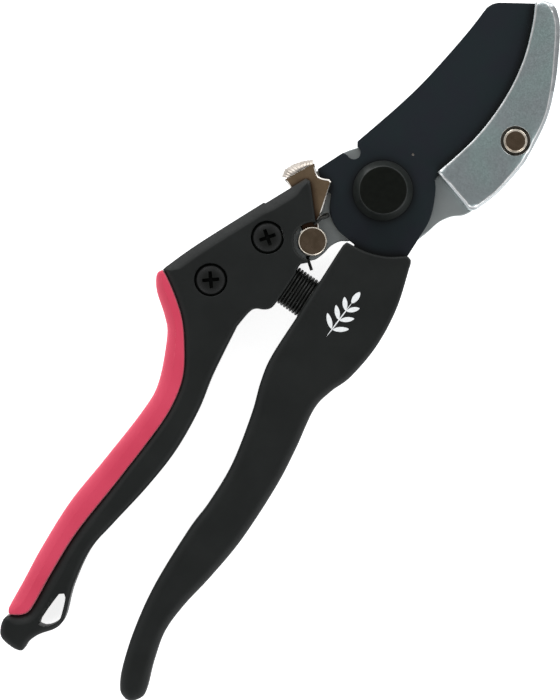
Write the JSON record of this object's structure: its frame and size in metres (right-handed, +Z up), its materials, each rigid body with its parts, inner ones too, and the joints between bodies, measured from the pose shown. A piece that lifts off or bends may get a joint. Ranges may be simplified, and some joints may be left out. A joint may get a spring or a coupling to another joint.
{
  "type": "bypass pruner",
  "caption": "Hand bypass pruner lying closed: coated cutting blade, riveted cast counter blade, moulded handles with a coloured grip, coil spring and thumb latch.",
  "frame": {"origin": "on the pivot axis, in the flat back face of the pivot nut, which is also the plane the tool rests on", "axes": "+X across the tool towards the counter blade, +Y from the handles to the blade tip, +Z up through the bolt head, away from the resting plane"},
  "size_m": [0.0598, 0.21, 0.0169],
  "materials": {
    "handle_plastic": "fine matt moulding texture",
    "grip_rubber": "soft matt elastomer",
    "blade_coating": "satin blue-black non-stick coating",
    "arm_steel": "satin blasted steel",
    "cast_jaw": "satin casting with polished edges",
    "nickel_plate": "polished nickel plating",
    "black_oxide": "black oxide with a light oil film",
    "spring_steel": "black finished spring wire",
    "plain_zinc": "zinc plated"
  },
  "bodies": {
    "arm": {"arm_plate": "arm_steel", "counter_blade": "cast_jaw", "counter_blade_rivet": "nickel_plate", "pivot_bolt": "black_oxide", "head_washer": "black_oxide", "spring_washer": "plain_zinc", "pivot_nut": "black_oxide", "left_handle": "handle_plastic", "grip_insert": "grip_rubber", "upper_handle_screw": "black_oxide", "lower_handle_screw": "black_oxide", "upper_handle_nut": "plain_zinc", "lower_handle_nut": "plain_zinc", "main_spring": "spring_steel", "latch_rivet": "nickel_plate", "latch_spacer": "plain_zinc", "latch_spring": "spring_steel"},
    "blade": {"cutting_blade": "blade_coating", "right_handle": "handle_plastic"},
    "latch": {"safety_latch": "nickel_plate"}
  },
  "joints": [
    {"name": "handle_open", "type": "hinge", "parent": "arm", "child": "blade", "pos_m": [0, 0, 0.0096], "axis": [0, 0, 1], "range_deg": [0, 28], "deforming": ["main_spring"]},
    {"name": "latch_turn", "type": "hinge", "parent": "arm", "child": "latch", "pos_m": [-0.00717, -0.0206, 0.0125], "axis": [0, 0, 1], "range_deg": [0, 18], "stiffness_Nm_per_rad": 0.01, "springref_deg": -17.19, "deforming": ["latch_spring"]}
  ]
}
